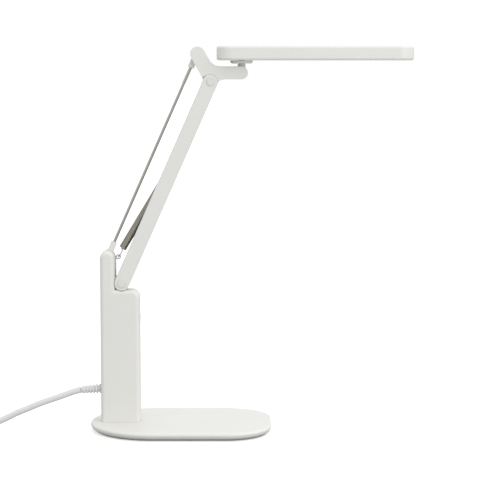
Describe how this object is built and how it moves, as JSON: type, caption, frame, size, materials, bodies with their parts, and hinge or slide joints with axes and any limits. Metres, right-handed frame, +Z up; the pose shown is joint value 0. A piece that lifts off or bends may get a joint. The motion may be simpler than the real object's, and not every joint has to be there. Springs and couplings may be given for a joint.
{
  "type": "swing arm desk lamp",
  "caption": "White LED desk lamp: weighted base, slim post, spring balanced parallel arm with link rod, levelling bracket and a flat tilting, swivelling head, with mains cord and plug.",
  "frame": {"origin": "on the table under the middle of the lamp (its bounding box without the free cord), z = 0 at the underside of the rubber feet", "axes": "+Z up, +X from the post towards the head, +Y to the back"},
  "size_m": [0.5198, 0.2028, 0.3845],
  "materials": {
    "white_body": "fine satin moulded plastic, warm white",
    "white_cord": "soft matt PVC, cooler white",
    "plain_steel": "plain drawn steel",
    "spring_steel": "oiled spring wire",
    "polished_steel": "polished",
    "cast_metal": "as cast",
    "dark_rubber": "matt",
    "opal_diffuser": "opal, light scattering",
    "white_board": "white solder mask",
    "circuit_board": "green solder mask"
  },
  "bodies": {
    "base": {"base_cover": "white_body", "ballast_plate": "plain_steel", "bottom_plate": "dark_rubber", "bottom_screw_1": "plain_steel", "bottom_screw_2": "plain_steel", "bottom_screw_3": "plain_steel", "post_mount_screw_1": "plain_steel", "post_mount_screw_2": "plain_steel", "rubber_foot_1": "dark_rubber", "rubber_foot_2": "dark_rubber", "rubber_foot_3": "dark_rubber", "rubber_foot_4": "dark_rubber", "rubber_foot_5": "dark_rubber", "post_front_shell": "white_body", "post_back_shell": "white_body", "post_upright": "cast_metal", "case_screw_1": "plain_steel", "case_screw_2": "plain_steel", "link_pin_lower": "plain_steel", "spring_anchor": "plain_steel", "switch_board": "circuit_board", "cord_gland": "white_cord", "power_cord": "white_cord", "power_cord_coil": "white_cord", "power_cord_tail": "white_cord", "plug_body": "white_cord", "plug_pin_1": "polished_steel", "plug_pin_2": "polished_steel"},
    "button": {"power_button": "white_body"},
    "arm": {"arm_channel": "white_body", "spring_pin": "plain_steel", "arm_lead": "dark_rubber", "lower_pivot_pin": "plain_steel", "lower_pivot_cap_front": "white_body", "lower_pivot_washer_front": "dark_rubber", "lower_pivot_cap_back": "white_body", "lower_pivot_washer_back": "dark_rubber", "upper_pivot_pin": "plain_steel", "upper_pivot_cap_front": "white_body", "upper_pivot_washer_front": "dark_rubber", "upper_pivot_cap_back": "white_body", "upper_pivot_washer_back": "dark_rubber"},
    "spring": {"balance_spring": "spring_steel"},
    "pull_wire": {"spring_pull_wire": "spring_steel"},
    "link": {"link_rod": "polished_steel", "rod_end_lower": "white_body", "rod_end_upper": "white_body"},
    "bracket": {"head_bracket": "white_body", "link_pin_upper": "plain_steel", "tilt_pin": "plain_steel"},
    "tilt": {"tilt_knuckle": "cast_metal", "swivel_disc": "white_body", "swivel_nut": "plain_steel"},
    "head": {"head_shell": "white_body", "head_frame": "white_body", "diffuser": "opal_diffuser", "led_board": "white_board"}
  },
  "joints": [
    {"name": "arm_pivot", "type": "hinge", "parent": "base", "child": "arm", "pos_m": [-0.1286, 0, 0.1487], "axis": [0, 1, 0], "range_deg": [-10, 40]},
    {"name": "link_pivot", "type": "hinge", "parent": "base", "child": "link", "pos_m": [-0.1421, 0, 0.1765], "axis": [0, 1, 0], "range_deg": [-10, 40]},
    {"name": "bracket_pivot", "type": "hinge", "parent": "arm", "child": "bracket", "pos_m": [-0.03971, 0, 0.34929], "axis": [0, 1, 0], "range_deg": [-40, 10]},
    {"name": "spring_pivot", "type": "hinge", "parent": "base", "child": "spring", "pos_m": [-0.1323, 0, 0.1748], "axis": [0, 1, 0], "range_deg": [-12, 45]},
    {"name": "pull_wire_pivot", "type": "hinge", "parent": "arm", "child": "pull_wire", "pos_m": [-0.07087, 0, 0.27625], "axis": [0, 1, 0], "range_deg": [-1.2, 4.5]},
    {"name": "head_tilt", "type": "hinge", "parent": "bracket", "child": "tilt", "pos_m": [-0.00891, 0, 0.35809], "axis": [0, 1, 0], "range_deg": [-5, 85]},
    {"name": "head_swivel", "type": "hinge", "parent": "tilt", "child": "head", "pos_m": [-0.00891, 0, 0.35809], "axis": [0, 0, 1], "range_deg": [-90, 90]},
    {"name": "button_press", "type": "slide", "parent": "base", "child": "button", "axis": [-1, 0, 0], "range_m": [0, 0.0006], "stiffness_N_per_m": 900}
  ],
  "couplings": [
    {"joint": "link_pivot", "follows": "arm_pivot", "ratio": 1},
    {"joint": "bracket_pivot", "follows": "arm_pivot", "ratio": -1},
    {"joint": "spring_pivot", "follows": "arm_pivot", "ratio": 1.11},
    {"joint": "pull_wire_pivot", "follows": "arm_pivot", "ratio": 0.11}
  ]
}
